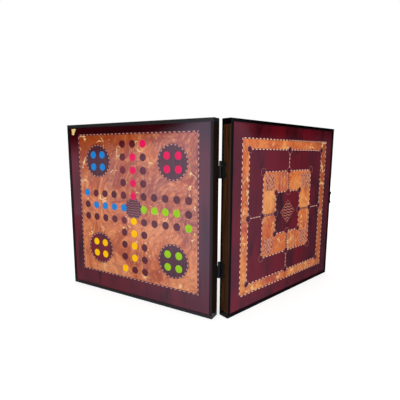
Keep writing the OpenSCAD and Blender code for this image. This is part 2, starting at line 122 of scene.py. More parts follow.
# Lines that run zigzag across X, one above the other
def zigzag(tree, x, z, width, slope, period, filled):
    teeth = addNode(tree, "Math", [x, width], operation="PINGPONG")
    raised = addNode(tree, "Math", [teeth, slope, z], operation="MULTIPLY_ADD")
    return dashes(tree, raised, period, filled)


# 1 between two lines that run along a strip
def insideStrip(tree, across, near, far):
    started = addNode(tree, "Math", [across, near], operation="GREATER_THAN")
    ended = addNode(tree, "Math", [across, far], operation="LESS_THAN")
    return addNode(tree, "Math", [started, ended], operation="MULTIPLY")


# Gloss lacquer, laid on thick and polished: the wood under it looks matt and deep, and the coat
# mirrors the room, a little wavy. Its orange peel is drawn coarser than the real one to show.
even = (1, 1, 1)
lacquer = {
    "woodRoughness": 0.6,
    "woodShine": 0,
    "grainDepth": 0.00003,
    "coatRoughness": 0.05,
    "coatIor": 1.5,
    "waves": (60, even, 1, 0),
    "waveDepth": 0.00016,
    "peel": (2.4, even, 2, 0, 9),
    "peelDepth": 0.000008,
}


def lacquered(tree, place, colour, grain, coat=1.0, roughness=lacquer["coatRoughness"]):
    waves = woodFigure(tree, place, *lacquer["waves"])
    peel = woodFigure(tree, place, *lacquer["peel"])
    wavy = addNode(tree, "Bump", {"Strength": 1, "Distance": lacquer["waveDepth"], "Height": waves})
    skin = {"Strength": 1, "Distance": lacquer["peelDepth"], "Height": peel, "Normal": wavy}
    pores = {"Strength": 1, "Distance": lacquer["grainDepth"], "Height": grain}
    shader = addNode(
        tree,
        "BsdfPrincipled",
        {
            "Base Color": colour,
            "Roughness": lacquer["woodRoughness"],
            "Specular IOR Level": lacquer["woodShine"],
            "Normal": addNode(tree, "Bump", pores),
            "Coat Weight": coat,
            "Coat Roughness": roughness,
            "Coat IOR": lacquer["coatIor"],
            "Coat Normal": addNode(tree, "Bump", skin),
        },
    )
    addNode(tree, "OutputMaterial", [shader])


# Maroon veneer, stained before it was laid: the stain took unevenly, so the eye sees long soft
# black clouds in the red and a faint straight grain, drawn coarser than the real pores to show.
# Shifts change the share of red or black along X. The ludo board darkens towards its top, which is
# painted shade.
maroonStain = {
    "ludo": {
        "red": "#5e1019",
        "middle": "#4c0c14",
        "black": "#200306",
        "clouds": (26, (1, 1, 6), 1, 0.6),
        "redFrom": 0.5,
        "redShift": 0.0006,
        "blackFrom": 0.56,
        "blackTo": 0.76,
        "blackShift": -0.0003,
        # Painted shade: above this height the ludo stain darkens towards the top of the board
        "paintedShadeAbove": 118,
    },
    "morris": {
        "red": "#680a14",
        "middle": "#520a14",
        "black": "#180305",
        "clouds": (34, (1, 1, 2.6), 1, 0.6),
        "redFrom": 0.52,
        "redShift": -0.0006,
        "blackFrom": 0.5,
        "blackTo": 0.74,
        "blackShift": 0.0003,
        "paintedShadeAbove": 400,  # past the top of the board, so none of it shows
    },
    "glow": (70, (1, 1, 1.6), 1, 0),
    "glowSeed": 5,
    "grain": (2.4, (1, 1, 30), 2, 0.2),
    "grainSeed": 3,
    "grainLevels": (0.45, 0.75, 0, 0.2),
    "redBlend": 0.12,
    "paintedShadeBlend": 45,
    "blackShare": 0.85,
}
maroonStain["middle"] = {**maroonStain["morris"], "redShift": 0.003, "blackShift": -0.005}
stainSeeds = {"ludo": 0, "morris": 40}  # shared by a board and the rails round it


def maroonColour(tree, place, look, seed):
    stain = maroonStain
    clouds = woodFigure(tree, place, *look["clouds"], seed)
    glow = woodFigure(tree, place, *stain["glow"], seed + stain["glowSeed"])
    grain = woodFigure(tree, place, *stain["grain"], seed + stain["grainSeed"])
    axes = addNode(tree, "SeparateXYZ", [place])
    x, z = axes.outputs[0], axes.outputs[2]
    glow = addNode(tree, "Math", [x, look["redShift"], glow], operation="MULTIPLY_ADD")
    clouds = addNode(tree, "Math", [x, look["blackShift"], clouds], operation="MULTIPLY_ADD")
    redFrom, redTo = look["redFrom"] - stain["redBlend"], look["redFrom"] + stain["redBlend"]
    red = addNode(tree, "MapRange", [glow, redFrom, redTo])
    base = addNode(tree, "MixRGB", [red, look["middle"], look["red"]])
    cloudLevels = [look["blackFrom"], look["blackTo"], 0, stain["blackShare"]]
    dark = addNode(tree, "MapRange", [clouds, *cloudLevels])
    # Painted shade: darker towards the top of the board, above the given height
    paintedShadeLevels = [look["paintedShadeAbove"], look["paintedShadeAbove"] + stain["paintedShadeBlend"], 0, stain["blackShare"]]
    top = addNode(tree, "MapRange", [z, *paintedShadeLevels])
    black = addNode(tree, "Math", [dark, top], operation="MAXIMUM")
    clouded = addNode(tree, "MixRGB", [black, base, look["black"]])
    fine = addNode(tree, "MapRange", [grain, *stain["grainLevels"]])
    return addNode(tree, "MixRGB", [fine, clouded, look["black"]]), grain


def maroonVeneer(name, board, look, seed):
    material, tree = newMaterial(name)
    place = boardPlace(tree, board)
    colour, grain = maroonColour(tree, place, maroonStain[look], seed)
    lacquered(tree, place, colour, grain)
    return material


# One corner of the ludo board has lost its veneer, and the bare cream wood shows with torn edges
chip = {
    "slope": 0.583,
    "from": 277.4,
    "above": 165,
    "below": 179.6,
    "short": 187.4,
    "bare": "#e9d790",
    "worn": "#c9a866",
    "crumbs": (2.6, even, 3, 0, 2),
    "tornBy": 5,
    "wornLevels": (0.4, 0.65),
}


def chippedVeneer(name):
    material, tree = newMaterial(name)
    place = boardPlace(tree, "ludo")
    colour, grain = maroonColour(tree, place, maroonStain["ludo"], stainSeeds["ludo"])
    crumbs = woodFigure(tree, place, *chip["crumbs"])
    torn = [crumbs, chip["tornBy"], -chip["tornBy"] / 2]
    torn = addNode(tree, "Math", torn, operation="MULTIPLY_ADD")
    axes = addNode(tree, "SeparateXYZ", [place])
    x, z = axes.outputs[0], axes.outputs[2]
    slanted = addNode(tree, "Math", [z, chip["slope"], x], operation="MULTIPLY_ADD")
    frayed = addNode(tree, "Math", [slanted, torn], operation="ADD")
    height = addNode(tree, "Math", [z, torn], operation="ADD")
    beyond = addNode(tree, "Math", [frayed, chip["from"]], operation="GREATER_THAN")
    above = insideStrip(tree, height, chip["above"], chip["below"])
    short = addNode(tree, "Math", [x, chip["short"]], operation="LESS_THAN")
    lost = addNode(tree, "Math", [beyond, above], operation="MULTIPLY")
    lost = addNode(tree, "Math", [lost, short], operation="MULTIPLY")
    worn = addNode(tree, "MapRange", [crumbs, *chip["wornLevels"]])
    wood = addNode(tree, "MixRGB", [worn, chip["bare"], chip["worn"]])
    lacquered(tree, place, addNode(tree, "MixRGB", [lost, colour, wood]), grain)
    return material


# Burl veneer, stained orange: its growth runs every way, so the eye sees smooth orange, mauve
# fields, lines that flow round them (drawn coarser than real ones to show), cracks and cream
# splinters. Past a start, in the direction of the weights, it darkens to the corner colour: this is
# painted shade, on the ludo look towards the top left and on the morris look towards the free edge.
burlLooks = {
    "ludo": {
        "deep": "#a2440c",
        "corner": "#8c3204",
        "middle": "#c66c3a",
        "pale": "#dc905c",
        "mauve": "#925048",
        "line": "#7c3634",
        "cream": "#e4c088",
        "crack": "#7a2408",
        "mauveFrom": 0.5,
        "mauveShift": -0.001,
        "mauveRise": 0.0012,
        "creamFrom": 0.58,
        # Painted shade towards the top left of the ludo board
        "cornerShadeWeights": (0.4, 0, 1),
        "cornerShadeFrom": 118,
        "streaks": 0.4,
        "streakSize": 8,
    },
    "morris": {
        "deep": "#b84c1e",
        "corner": "#8c3c10",
        "middle": "#de7636",
        "pale": "#eca25a",
        "mauve": "#b4504a",
        "line": "#963c30",
        "cream": "#f0c884",
        "crack": "#8a2c14",
        "mauveFrom": 0.48,
        "mauveShift": 0,
        "mauveRise": 0,
        "creamFrom": 0.555,
        # Painted shade towards the free edge of the morris board
        "cornerShadeWeights": (1, 0, 0.1),
        "cornerShadeFrom": 100,
        "streaks": 0.24,
        "streakSize": 4,
    },
}
burlFigure = {
    "swirl": (85, even, 1, 0),
    "swirlBy": 150,
    "clouds": (80, (1, 1, 2), 2, 0.6),
    "warmLevels": (0.34, 0.5, 0.2, 1),
    "paleLevels": (0.48, 0.66, 0, 0.8),
    "mauves": (95, even, 2, 0.6),
    "mauveBlend": 0.24,
    "mauveShare": 0.75,
    "mottle": (13, (1, 1, 3), 4, 0.6),
    "darkLevels": (0.5, 0.68, 0, 0.45),
    "brightLevels": (0.48, 0.3, 0, 0.45),
    "streak": ((1, 1, 12), 3, 0.4),
    "streakLevels": (0.5, 0.66, 0),
    "gleamLevels": (0.47, 0.33, 0),
    "gleamGain": 1.4,
    "cornerShadeBlend": 70,
    "cornerShadeShare": 0.8,
    "linePitch": 9,
    "lineWaver": 26,
    "lineDetail": 3,
    "lineRoughness": 0.55,
    "bendSize": 70,
    "lineLevels": (0.45, 1),
    "lineFade": (0.4, 0.68, 0.05, 0.5),
    "cracks": (30, 1.1),
    "crackFrom": -0.02,
    "crackShare": 0.6,
    "splinters": (21, 1.5),
    "seeds": {"swirl": 41, "mottle": 11, "streak": 3, "mauves": 23, "cracks": 70, "splinters": 31},
}
splinterShape = {
    "waver": (even, 2, 0),
    "waverSize": 0.6,
    "bentBy": 12,
    "spread": (even, 2, 0.4),
    "spreadSeed": 7,
    "spreadSize": 1.3,
    "spreadBlend": 0.1,
    "softEdge": 0.4,
    "fray": (2.2, even, 2, 0),
    "frayLevels": (0.36, 0.5, 0.25, 1),
}
waveLength = 0.314  # of the wave texture at scale 1


# Short wavy splinters along the edges between cells. They show, and widen, where the spread, a
# cloudy figure, passes its start.
def splinters(tree, place, size, width, start, seed):
    shape = splinterShape
    waver = woodFigure(tree, place, size * shape["waverSize"], *shape["waver"], seed)
    bent = [waver.outputs["Color"], (shape["bentBy"],) * 3]
    bent = addNode(tree, "VectorMath", bent, operation="MULTIPLY")
    moved = addNode(tree, "VectorMath", [place, bent], operation="ADD")
    net = {"Vector": moved, "Scale": 1 / size}
    cells = addNode(tree, "TexVoronoi", net, feature="DISTANCE_TO_EDGE")
    spreadSeed = seed + shape["spreadSeed"]
    spread = woodFigure(tree, place, size * shape["spreadSize"], *shape["spread"], spreadSeed)
    reachLevels = [start, start + shape["spreadBlend"], 0, width / size]
    reach = addNode(tree, "MapRange", [spread, *reachLevels])
    inside = addNode(tree, "Math", [reach, cells], operation="SUBTRACT")
    solid = addNode(tree, "MapRange", [inside, 0, shape["softEdge"] / size])
    fray = woodFigure(tree, place, *shape["fray"], seed)
    frayed = addNode(tree, "MapRange", [fray, *shape["frayLevels"]])
    return addNode(tree, "Math", [solid, frayed], operation="MULTIPLY")


def burlColour(tree, place, look, seed=0):
    burl = burlFigure
    seeds = {name: seed + offset for name, offset in burl["seeds"].items()}
    swirl = woodFigure(tree, place, *burl["swirl"], seeds["swirl"])
    swirled = [swirl.outputs["Color"], (burl["swirlBy"],) * 3, place]
    swirled = addNode(tree, "VectorMath", swirled, operation="MULTIPLY_ADD")
    clouds = woodFigure(tree, swirled, *burl["clouds"], seed)
    mottle = woodFigure(tree, swirled, *burl["mottle"], seeds["mottle"])
    streak = woodFigure(tree, swirled, look["streakSize"], *burl["streak"], seeds["streak"])
    mauves = woodFigure(tree, place, *burl["mauves"], seeds["mauves"])
    axes = addNode(tree, "SeparateXYZ", [place])
    for axis, shift in ((0, look["mauveShift"]), (2, look["mauveRise"])):
        shifted = [axes.outputs[axis], shift, mauves]
        mauves = addNode(tree, "Math", shifted, operation="MULTIPLY_ADD")
    corner = addNode(tree, "VectorMath", [place, look["cornerShadeWeights"]], operation="DOT_PRODUCT")
    flow = {
        "Vector": place,
        "Scale": waveLength / burl["linePitch"],
        "Distortion": burl["lineWaver"],
        "Detail": burl["lineDetail"],
        "Detail Scale": burl["linePitch"] / (waveLength * burl["bendSize"]),
        "Detail Roughness": burl["lineRoughness"],
        "Phase Offset": seed,
    }
    flow = addNode(tree, "TexWave", flow, bands_direction="DIAGONAL")
    thin = addNode(tree, "MapRange", [flow, *burl["lineLevels"]])
    faded = addNode(tree, "MapRange", [mauves, *burl["lineFade"]])
    crackFrom = look["creamFrom"] + burl["crackFrom"]
    cracks = splinters(tree, place, *burl["cracks"], crackFrom, seeds["cracks"])
    cream = splinters(tree, place, *burl["splinters"], look["creamFrom"], seeds["splinters"])
    mauveTo = look["mauveFrom"] + burl["mauveBlend"]
    cornerShadeTo = look["cornerShadeFrom"] + burl["cornerShadeBlend"]
    figures = [
        ("middle", clouds, burl["warmLevels"]),
        ("pale", clouds, burl["paleLevels"]),
        ("mauve", mauves, (look["mauveFrom"], mauveTo, 0, burl["mauveShare"])),
        ("deep", mottle, burl["darkLevels"]),
        ("pale", mottle, burl["brightLevels"]),
        ("line", streak, (*burl["streakLevels"], look["streaks"])),
        ("pale", streak, (*burl["gleamLevels"], burl["gleamGain"] * look["streaks"])),
        # Painted shade: darker towards a corner or edge of the board
        ("corner", corner.outputs["Value"], (look["cornerShadeFrom"], cornerShadeTo, 0, burl["cornerShadeShare"])),
    ]
    layers = []
    for tone, figure, levels in figures:
        layers.append((tone, addNode(tree, "MapRange", [figure, *levels])))
    layers.append(("line", addNode(tree, "Math", [thin, faded], operation="MULTIPLY")))
    cracks = addNode(tree, "Math", [cracks, burl["crackShare"]], operation="MULTIPLY")
    layers += [("crack", cracks), ("cream", cream)]
    colour = look["deep"]
    for tone, share in layers:
        colour = addNode(tree, "MixRGB", [share, colour, look[tone]])
    return colour, mottle


def burlVeneer(name, board, look, seed=0):
    material, tree = newMaterial(name)
    place = boardPlace(tree, board)
    colour, mottle = burlColour(tree, place, burlLooks[look], seed)
    lacquered(tree, place, colour, mottle)
    return material


# Dark stained veneer of the spots: brown purple with a close straight grain, a little redder here
# and there. The grain is drawn coarser than the real pores to show.
darkStain = {
    "ludo": {
        "dark": "#3e080a",
        "light": "#601014",
        "red": "#700c12",
        "redFrom": 0.55,
        "redWeights": (0, 0, 0),
        "seed": 13,
        "coat": 0.82,
    },
    "homes": {
        "dark": "#341218",
        "light": "#542028",
        "red": "#70141c",
        "redFrom": 0.55,
        "redWeights": (0.0006, 0, -0.0008),
        "seed": 55,
        "coat": 0.9,
    },
    "morris": {
        "dark": "#380616",
        "light": "#521028",
        "red": "#640a1c",
        "redFrom": 0.45,
        "redWeights": (0, 0, 0),
        "seed": 13,
        "coat": 1,
    },
    "redBlend": 0.13,
    "redShare": 0.8,
    "patches": (55, even, 1, 0),
    "grain": (1.8, (1, 1, 14), 3, 0.3),
    "grainLevels": (0.35, 0.7),
}


def darkVeneer(name, board, look="ludo"):
    look = darkStain[look]
    material, tree = newMaterial(name)
    place = boardPlace(tree, board)
    grain = woodFigure(tree, place, *darkStain["grain"])
    patches = woodFigure(tree, place, *darkStain["patches"], look["seed"])
    redder = addNode(tree, "VectorMath", [place, look["redWeights"]], operation="DOT_PRODUCT")
    patches = addNode(tree, "Math", [patches, redder.outputs["Value"]], operation="ADD")
    fine = addNode(tree, "MapRange", [grain, *darkStain["grainLevels"]])
    base = addNode(tree, "MixRGB", [fine, look["dark"], look["light"]])
    redLevels = [look["redFrom"], look["redFrom"] + darkStain["redBlend"], 0, darkStain["redShare"]]
    red = addNode(tree, "MapRange", [patches, *redLevels])
    colour = addNode(tree, "MixRGB", [red, base, look["red"]])
    lacquered(tree, place, colour, grain, look["coat"])
    return material


# Discs of pale veneer, stained through in bright colours: the colour is nearly even, and the grain
# of the wood just shows. The grain is drawn coarser than the real one.
spotStains = {
    "red": {"bright": "#e20e58", "deep": "#ce0a4a", "coat": 0.35},
    "blue": {"bright": "#1682d0", "deep": "#0c70ba", "coat": 0.35},
    "yellow": {"bright": "#fac400", "deep": "#eeac00", "coat": 0.15},
    "green": {"bright": "#98cd00", "deep": "#84b500", "coat": 0.35},
    "grain": (1.6, (1, 1, 12), 3, 0.3),
    "grainLevels": (0.3, 0.75),
}


def stainedSpots(hue):
    look = spotStains[hue]
    material, tree = newMaterial(hue + "StainedSpots")
    place = boardPlace(tree, "ludo")
    grain = woodFigure(tree, place, *spotStains["grain"])
    fine = addNode(tree, "MapRange", [grain, *spotStains["grainLevels"]])
    colour = addNode(tree, "MixRGB", [fine, look["bright"], look["deep"]])
    lacquered(tree, place, colour, grain, look["coat"])
    return material


# Slips of all the inlays: light ones of stained maple, faintly speckled, among dark ones
slipSpeckle = {"figure": (1.5, even, 2, 0.2), "levels": (0.4, 0.7)}


def slipColour(tree, place, mask, look):
    speckle = woodFigure(tree, place, *slipSpeckle["figure"])
    share = addNode(tree, "MapRange", [speckle, *slipSpeckle["levels"]])
    light = addNode(tree, "MixRGB", [share, look["light"], look["shade"]])
    return addNode(tree, "MixRGB", [mask, light, look["dark"]]), speckle


# Twisted stringing: light and dark slips, cut aslant, between thin outlines. The same sheet runs
# round the board, round the four homes and round the rosette. The distance from the middle tells
# them apart.
ludoStringing = {
    "light": "#c8907c",
    "shade": "#a06054",
    "dark": "#421420",
    "halfSide": 167,
    "width": 4,
    "period": 334 / 30,
    "filled": 0.5,
    "slant": 0.6,
    "slipFrom": 1,
    "slipTo": 3.2,
    "borderFrom": 155,
    "homeAt": 104.31,
    "homeRadius": 38,
    "homeDashes": 24,
    "ringSlip": (0.78, 0.24),
    "rosetteTo": 40,
    "rosetteRadius": 24.5,
    "rosetteDashes": 15,
    "rosetteWidth": 2.5,
}


# Dashes round the point X 0, Z 0: 0 on the light slips and 1 on the dark ones and the outlines
def ringDashes(tree, x, z, radius, count, width):
    angle = addNode(tree, "Math", [z, x], operation="ARCTAN2")
    slips = dashes(tree, angle, 2 * math.pi / count)
    flat = addNode(tree, "CombineXYZ", [x, 0, z])
    reach = addNode(tree, "VectorMath", [flat], operation="LENGTH").outputs["Value"]
    near, far = [radius - width * share for share in ludoStringing["ringSlip"]]
    inner = insideStrip(tree, reach, near, far)
    light = addNode(tree, "Math", [slips, inner], operation="MULTIPLY")
    return addNode(tree, "Math", [1, light], operation="SUBTRACT")


# Distances from the middle along X and along Z, both positive
def fromMiddle(tree, x, z):
    return [addNode(tree, "Math", [axis], operation="ABSOLUTE") for axis in (x, z)]


def ludoStringingSheet():
    look = ludoStringing
    material, tree = newMaterial("twistedStringing")
    place = boardPlace(tree, "ludo")
    axes = addNode(tree, "SeparateXYZ", [place])
    x, z = axes.outputs[0], axes.outputs[2]
    sideways, upwards = fromMiddle(tree, x, z)
    reach = addNode(tree, "Math", [sideways, upwards], operation="MAXIMUM")
    across = addNode(tree, "Math", [look["halfSide"], reach], operation="SUBTRACT")
    onSides = addNode(tree, "Math", [sideways, upwards], operation="GREATER_THAN")
    along = addNode(tree, "Mix", {0: onSides, 2: x, 3: z})
    slant = addNode(tree, "Math", [across, look["slant"], along], operation="MULTIPLY_ADD")
    slips = dashes(tree, slant, look["period"], look["filled"])
    between = insideStrip(tree, across, look["slipFrom"], look["slipTo"])
    light = addNode(tree, "Math", [slips, between], operation="MULTIPLY")
    border = addNode(tree, "Math", [1, light], operation="SUBTRACT")
    homeX = addNode(tree, "Math", [sideways, look["homeAt"]], operation="SUBTRACT")
    homeZ = addNode(tree, "Math", [upwards, look["homeAt"]], operation="SUBTRACT")
    home = ringDashes(tree, homeX, homeZ, look["homeRadius"], look["homeDashes"], look["width"])
    middle = [look["rosetteRadius"], look["rosetteDashes"], look["rosetteWidth"]]
    middle = ringDashes(tree, x, z, *middle)
    atHomes = addNode(tree, "Math", [reach, look["rosetteTo"]], operation="GREATER_THAN")
    rings = addNode(tree, "Mix", {0: atHomes, 2: middle, 3: home})
    atBorder = addNode(tree, "Math", [reach, look["borderFrom"]], operation="GREATER_THAN")
    mask = addNode(tree, "Mix", {0: atBorder, 2: rings, 3: border})
    colour, speckle = slipColour(tree, place, mask, look)
    lacquered(tree, place, colour, speckle)
    return material


# Stringing of the morris board: short pink slips between dark red ones, with dark red outlines.
# The lines that join the squares have thinner slips, long over the maroon and short over the burl.
morrisStringing = {
    "light": "#ffdcc4",
    "shade": "#e4a888",
    "dark": "#5c1018",
    "period": 331 / 28,
    "filled": 0.48,
    "slipWidth": 1.9,
    "squarePitch": 47.5,
    "borderAt": 164,
    "lineWidth": 1.5,
    "lineEdge": 2.3,
    "maroonDashes": (9, 0.3),
    "burlDashes": (6, 0.66),
}


def morrisStringingSheet():
    look = morrisStringing
    material, tree = newMaterial("dottedStringing")
    place = boardPlace(tree, "morris")
    axes = addNode(tree, "SeparateXYZ", [place])
    x, z = axes.outputs[0], axes.outputs[2]
    sideways, upwards = fromMiddle(tree, x, z)
    reach = addNode(tree, "Math", [sideways, upwards], operation="MAXIMUM")
    onSides = addNode(tree, "Math", [sideways, upwards], operation="GREATER_THAN")
    along = addNode(tree, "Mix", {0: onSides, 2: x, 3: z})
    gaps = dashes(tree, along, look["period"], 1 - look["filled"])
    toSquare = addNode(tree, "Math", [reach, look["squarePitch"] / 2], operation="PINGPONG")
    toBorder = addNode(tree, "Math", [reach, look["borderAt"]], operation="SUBTRACT")
    toBorder = addNode(tree, "Math", [toBorder], operation="ABSOLUTE")
    offMiddle = addNode(tree, "Math", [toSquare, toBorder], operation="MINIMUM")
    outline = addNode(tree, "Math", [offMiddle, look["slipWidth"] / 2], operation="GREATER_THAN")
    strips = addNode(tree, "Math", [gaps, outline], operation="MAXIMUM")
    beside = addNode(tree, "Math", [sideways, upwards], operation="MINIMUM")
    thin = addNode(tree, "Math", [beside, look["lineWidth"] / 2], operation="GREATER_THAN")
    inBand = addNode(tree, "Math", [reach, 2 * look["squarePitch"]], operation="LESS_THAN")
    overMaroon = dashes(tree, reach, *look["maroonDashes"])
    overBurl = dashes(tree, reach, *look["burlDashes"])
    gapsAcross = addNode(tree, "Mix", {0: inBand, 2: overMaroon, 3: overBurl})
    lines = addNode(tree, "Math", [thin, gapsAcross], operation="MAXIMUM")
    onLine = addNode(tree, "Math", [beside, look["lineEdge"]], operation="LESS_THAN")
    mask = addNode(tree, "Mix", {0: onLine, 2: strips, 3: lines})
    colour, speckle = slipColour(tree, place, mask, look)
    lacquered(tree, place, colour, speckle)
    return material


# Fine chequered patches of light and dark slips, a little out of line and blotched by the stain
chequers = {
    "size": 5.2,
    "uneven": (7, even, 2, 0, 6),
    "unevenBy": 9,
    "blotches": (6, even, 2, 0),
    "blotchLevels": (0.4, 0.6, 0.25, 1),
    "light": "#d8906c",
    "shade": "#c47450",
    "dark": "#641c30",
}


def chequeredPatches():
    material, tree = newMaterial("chequeredInlay")
    place = boardPlace(tree, "morris")
    uneven = woodFigure(tree, place, *chequers["uneven"])
    moved = [uneven.outputs["Color"], (chequers["unevenBy"],) * 3, place]
    moved = addNode(tree, "VectorMath", moved, operation="MULTIPLY_ADD")
    squares = addNode(tree, "TexChecker", {"Vector": moved, "Scale": 1 / chequers["size"]})
    blotches = woodFigure(tree, place, *chequers["blotches"])
    blotches = addNode(tree, "MapRange", [blotches, *chequers["blotchLevels"]])
    mask = addNode(tree, "Math", [squares.outputs[1], blotches], operation="MULTIPLY")
    colour, speckle = slipColour(tree, place, mask, chequers)
    lacquered(tree, place, colour, speckle)
    return material


# Striped patches: upright mauve slips in burl, with wavering edges, faded here and there
stripes = {
    "period": 12,
    "filled": 0.5,
    "waver": (12, even, 1, 0),
    "waverBy": 6,
    "fading": (16, (1, 1, 2), 1, 0, 3),
    "fadeLevels": (0.36, 0.6, 0.2, 0.8),
    "mauve": "#8e4850",
    "burlSeed": 2,
}


def stripedPatches():
    material, tree = newMaterial("stripedInlay")
    place = boardPlace(tree, "morris")
    burl, mottle = burlColour(tree, place, burlLooks["morris"], stripes["burlSeed"])
    x = addNode(tree, "SeparateXYZ", [place]).outputs[0]
    waver = woodFigure(tree, place, *stripes["waver"])
    bent = addNode(tree, "Math", [waver, stripes["waverBy"], x], operation="MULTIPLY_ADD")
    mask = dashes(tree, bent, stripes["period"], stripes["filled"])
    fading = woodFigure(tree, place, *stripes["fading"])
    fading = addNode(tree, "MapRange", [fading, *stripes["fadeLevels"]])
    share = addNode(tree, "Math", [mask, fading], operation="MULTIPLY")
    colour = addNode(tree, "MixRGB", [share, burl, stripes["mauve"]])
    lacquered(tree, place, colour, mottle)
    return material


# Diamond in the middle of the morris board: a thin light outline, a dark one, and fine zigzag
# slips. A zigzag is its width, its slope, the pitch of its lines and the share between them.
diamond = {
    "halfDiagonal": 28,
    "outline": 0.9,
    "gap": 2.4,
    "zigzag": (7, 0.5, 6.6, 0.7),
    "dark": "#560a14",
    "light": "#cc8870",
    "shade": "#a05c50",
}


def diamondPatch():
    material, tree = newMaterial("zigzagInlay")
    place = boardPlace(tree, "morris")
    axes = addNode(tree, "SeparateXYZ", [place])
    x, z = axes.outputs[0], axes.outputs[2]
    reach = addNode(tree, "Math", fromMiddle(tree, x, z), operation="ADD")
    border = diamond["halfDiagonal"] - diamond["outline"] * math.sqrt(2)
    inner = addNode(tree, "Math", [reach, border], operation="LESS_THAN")
    gap = addNode(tree, "Math", [reach, border - diamond["gap"]], operation="GREATER_THAN")
    gaps = zigzag(tree, x, z, *diamond["zigzag"])
    gaps = addNode(tree, "Math", [gaps, gap], operation="MAXIMUM")
    mask = addNode(tree, "Math", [gaps, inner], operation="MULTIPLY")
    colour, speckle = slipColour(tree, place, mask, diamond)
    lacquered(tree, place, colour, speckle)
    return material


# Rosette in the middle of the ludo board: fine zigzag slips in dark red wood
rosette = {
    "zigzag": (6.4, 0.4, 5.6, 0.64),
    "dark": "#3c0a10",
    "light": "#904c48",
    "shade": "#6c3034",
}


def rosettePatch():
    material, tree = newMaterial("rosetteInlay")
    place = boardPlace(tree, "ludo")
    axes = addNode(tree, "SeparateXYZ", [place])
    gaps = zigzag(tree, axes.outputs[0], axes.outputs[2], *rosette["zigzag"])
    colour, speckle = slipColour(tree, place, gaps, rosette)
    lacquered(tree, place, colour, speckle)
    return material


# Rails: walnut walls between edges painted black by brush, so that the black ends in soft, slightly
# wavy lines. The edges are in millimetres: along Y at the rim and the face, and up from the middle.
rails = {
    # The ludo rails are the same walnut and black paint as the morris rails: their walnut is drawn
    # darker, which is painted shade, and their black greyer, which is a painted sheen
    "ludoTray": {
        "dark": "#160d08",
        "light": "#2b1a0d",
        "pore": "#0d0704",
        "black": "#131212",
        "paint": "#232222",
        "dust": "#302e2c",
        "coat": 0.35,
        "stainedX": (9.2, 395),
        "stainedZ": (8.8, 392.4),
    },
    "morrisTray": {
        "dark": "#26160d",
        "light": "#4a2e1a",
        "pore": "#170c07",
        "black": "#050404",
        "paint": "#050404",
        "dust": "#161414",
        "coat": 0.2,
        "stainedX": (9.6, 394.4),
        "stainedZ": (8.8, 393),
    },
    "stainedFrom": -23,
    "middle": 200,
    "rimEdge": (-4.6, -4.1),
    "faceEdge": (-23.1, -23.6),
    "endEdge": (189, 189.3),
    "brush": (9, even, 1, 0),
    "brushBy": 0.8,
    "paintRoughness": 0.14,
    "dust": (1.2, even, 2, 0, 4),
    "dustLevels": (0.6, 0.8),
    "strokes": (2.6, (14, 1, 1), 2, 0.2),
}


# The maroon stain of the board, and its gloss, run on over the face of the rails up to a black
# edge. The result is the colour and the weight of the coat.
def railStain(tree, board, place, colour):
    axes = addNode(tree, "SeparateXYZ", [place])
    across = insideStrip(tree, axes.outputs[0], *rails[board]["stainedX"])
    upwards = insideStrip(tree, axes.outputs[2], *rails[board]["stainedZ"])
    inside = addNode(tree, "Math", [across, upwards], operation="MULTIPLY")
    front = addNode(tree, "Math", [axes.outputs[1], rails["stainedFrom"]], operation="LESS_THAN")
    mask = addNode(tree, "Math", [inside, front], operation="MULTIPLY")
    face = boards[board]["face"]
    stained = boardPlace(tree, face)
    stain = maroonColour(tree, stained, maroonStain[face], stainSeeds[face])[0]
    coat = addNode(tree, "MapRange", [mask, 0, 1, rails[board]["coat"], 1])
    return addNode(tree, "MixRGB", [mask, colour, stain]), coat


# Walnut: brown with a long straight figure and dark pores, which are drawn coarser than real ones
walnutFigure = {
    "rings": (3.2, (1, 1, 26), 4, 0.6),
    "ringLevels": (0.32, 0.7),
    "pores": (0.9, (1, 1, 12), 2, 0.1, 7),
    "poreLevels": (0.58, 0.7, 0, 0.5),
}


def walnutColour(tree, place, look):
    rings = woodFigure(tree, place, *walnutFigure["rings"])
    pores = woodFigure(tree, place, *walnutFigure["pores"])
    warm = addNode(tree, "MapRange", [rings, *walnutFigure["ringLevels"]])
    base = addNode(tree, "MixRGB", [warm, look["dark"], look["light"]])
    marks = addNode(tree, "MapRange", [pores, *walnutFigure["poreLevels"]])
    return addNode(tree, "MixRGB", [marks, base, look["pore"]]), rings


def walnutRail(name, board):
    material, tree = newMaterial(name)
    place = boardPlace(tree, board)
    walnut, rings = walnutColour(tree, place, rails[board])
    axes = addNode(tree, "SeparateXYZ", [place])
    brush = woodFigure(tree, place, *rails["brush"])
    level = [brush, rails["brushBy"], axes.outputs[1]]
    level = addNode(tree, "Math", level, operation="MULTIPLY_ADD")
    rim = addNode(tree, "MapRange", [level, *rails["rimEdge"]])
    face = addNode(tree, "MapRange", [level, *rails["faceEdge"]])
    middle = addNode(tree, "Math", [axes.outputs[2], rails["middle"]], operation="SUBTRACT")
    middle = addNode(tree, "Math", [middle], operation="ABSOLUTE")
    reach = addNode(tree, "Math", [brush, middle], operation="ADD")
    end = addNode(tree, "MapRange", [reach, *rails["endEdge"]])
    edges = addNode(tree, "Math", [rim, face], operation="MAXIMUM")
    painted = addNode(tree, "Math", [edges, end], operation="MAXIMUM")
    colour = addNode(tree, "MixRGB", [painted, walnut, rails[board]["black"]])
    colour, coat = railStain(tree, board, place, colour)
    lacquered(tree, place, colour, rings, coat, rails["paintRoughness"])
    return material


